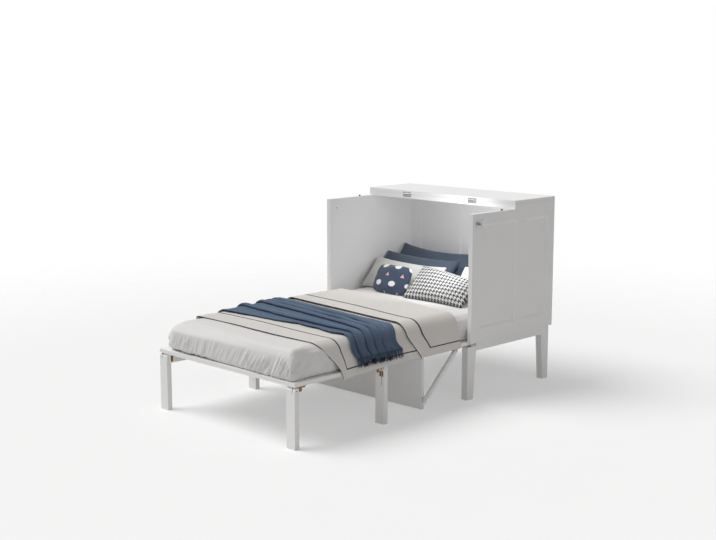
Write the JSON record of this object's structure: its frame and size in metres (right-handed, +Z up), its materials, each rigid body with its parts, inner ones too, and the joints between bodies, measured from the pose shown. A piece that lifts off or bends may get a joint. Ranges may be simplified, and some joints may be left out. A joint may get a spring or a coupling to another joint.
{
  "type": "wall_bed",
  "caption": "White low cabinet that opens into a single bed, with folding sections, folding legs, braced support panel and made-up bedding.",
  "frame": {"origin": "on the floor below the middle of the open bed's box", "axes": "+X is the right as seen from the foot of the bed; +Y runs from the foot to the head; +Z is up"},
  "size_m": [1.13, 1.934, 1.0396],
  "materials": {
    "white_paint": "satin white paint on board",
    "steel": "plain steel fittings",
    "brass": "satin brass brackets",
    "nylon": "dark grey glides and bumpers",
    "white_cotton": "white fitted sheet",
    "beige_quilt": "beige linen with a dark border line",
    "blue_throw": "coarse blue knit with a dark fringe",
    "slate_cotton": "slate blue cotton",
    "beige_cotton": "beige linen with blue piping",
    "cream_cotton": "cream cotton",
    "check_weave": "grey and white broken check weave",
    "navy_cotton": "navy cotton with a small pale pattern"
  },
  "bodies": {
    "cabinet": {"left_side": "white_paint", "right_side": "white_paint", "back_panel": "white_paint", "rear_top": "white_paint", "front_apron": "white_paint", "rear_apron": "white_paint", "side_aprons": "white_paint", "front_base_legs": "white_paint", "rear_base_legs": "white_paint", "base_glides": "nylon", "cleats": "white_paint", "head_slats": "white_paint", "pivot_brackets": "steel", "pivot_bolts": "steel", "lid_hinge_plates": "steel", "lid_bumpers": "nylon", "bolt_housings": "steel", "mattress_head": "white_cotton", "rear_slate_pillow": "slate_cotton", "front_slate_pillow": "slate_cotton", "beige_pillow": "beige_cotton", "cream_pillow": "cream_cotton", "check_pillow": "check_weave", "navy_cushion": "navy_cotton"},
    "lid": {"front_leaf": "white_paint", "lid_hinge_flaps": "steel"},
    "left_bolt_body": {"left_bolt": "steel"},
    "right_bolt_body": {"right_bolt": "steel"},
    "mid_section": {"mid_side_rails": "white_paint", "mid_end_rails": "white_paint", "mid_slats": "white_paint", "front_panel": "white_paint", "strut_brackets": "steel", "section_hinge_plates": "steel", "support_hinge_plates": "steel", "mattress_mid": "white_cotton", "quilt_mid": "beige_quilt", "throw_mid": "blue_throw"},
    "support": {"support_panel": "white_paint", "support_fittings": "steel"},
    "left_strut_body": {"left_strut": "white_paint"},
    "right_strut_body": {"right_strut": "white_paint"},
    "foot_section": {"foot_side_rails": "white_paint", "foot_end_rails": "white_paint", "foot_slats": "white_paint", "foot_ledgers": "white_paint", "leg_brackets": "brass", "leg_pins": "brass", "section_hinge_flaps": "steel", "mattress_foot": "white_cotton", "quilt_foot": "beige_quilt", "throw_foot": "blue_throw"},
    "foot_left_leg_body": {"foot_left_leg": "white_paint", "foot_left_straps": "brass"},
    "foot_right_leg_body": {"foot_right_leg": "white_paint", "foot_right_straps": "brass"},
    "mid_left_leg_body": {"mid_left_leg": "white_paint", "mid_left_straps": "brass"},
    "mid_right_leg_body": {"mid_right_leg": "white_paint", "mid_right_straps": "brass"}
  },
  "joints": [
    {"name": "lid_fold", "type": "hinge", "parent": "cabinet", "child": "lid", "pos_m": [0, 0.6105, 1.0213], "axis": [1, 0, 0], "range_deg": [0, 180]},
    {"name": "left_bolt_slide", "type": "slide", "parent": "cabinet", "child": "left_bolt_body", "axis": [1, 0, 0], "range_m": [0, 0.01]},
    {"name": "right_bolt_slide", "type": "slide", "parent": "cabinet", "child": "right_bolt_body", "axis": [-1, 0, 0], "range_m": [0, 0.01]},
    {"name": "mid_fold", "type": "hinge", "parent": "cabinet", "child": "mid_section", "pos_m": [0, 0.3064, 0.304], "axis": [-1, 0, 0], "range_deg": [0, 90], "deforming": ["mattress_head", "rear_slate_pillow", "front_slate_pillow", "beige_pillow", "cream_pillow", "check_pillow", "navy_cushion"]},
    {"name": "foot_fold", "type": "hinge", "parent": "mid_section", "child": "foot_section", "pos_m": [0, -0.345, 0.319], "axis": [-1, 0, 0], "range_deg": [0, 180], "deforming": ["mattress_foot", "mattress_mid", "quilt_foot", "quilt_mid", "throw_foot", "throw_mid"]},
    {"name": "support_fold", "type": "hinge", "parent": "mid_section", "child": "support", "pos_m": [0, -0.0443, 0.2773], "axis": [1, 0, 0], "range_deg": [0, 90]},
    {"name": "left_strut_fold", "type": "hinge", "parent": "mid_section", "child": "left_strut_body", "pos_m": [-0.502, 0.18, 0.285], "axis": [-1, 0, 0], "range_deg": [0, 43.2]},
    {"name": "right_strut_fold", "type": "hinge", "parent": "mid_section", "child": "right_strut_body", "pos_m": [0.502, 0.18, 0.285], "axis": [-1, 0, 0], "range_deg": [0, 43.2]},
    {"name": "foot_left_leg_fold", "type": "hinge", "parent": "foot_section", "child": "foot_left_leg_body", "pos_m": [-0.484, -0.9535, 0.28], "axis": [1, 0, 0], "range_deg": [0, 90]},
    {"name": "foot_right_leg_fold", "type": "hinge", "parent": "foot_section", "child": "foot_right_leg_body", "pos_m": [0.484, -0.9535, 0.28], "axis": [1, 0, 0], "range_deg": [0, 90]},
    {"name": "mid_left_leg_fold", "type": "hinge", "parent": "foot_section", "child": "mid_left_leg_body", "pos_m": [-0.484, -0.3605, 0.28], "axis": [-1, 0, 0], "range_deg": [0, 90]},
    {"name": "mid_right_leg_fold", "type": "hinge", "parent": "foot_section", "child": "mid_right_leg_body", "pos_m": [0.484, -0.3605, 0.28], "axis": [-1, 0, 0], "range_deg": [0, 90]}
  ],
  "couplings": [
    {"joint": "left_strut_fold", "follows": "support_fold", "ratio": 0.4789},
    {"joint": "right_strut_fold", "follows": "support_fold", "ratio": 0.4789}
  ]
}
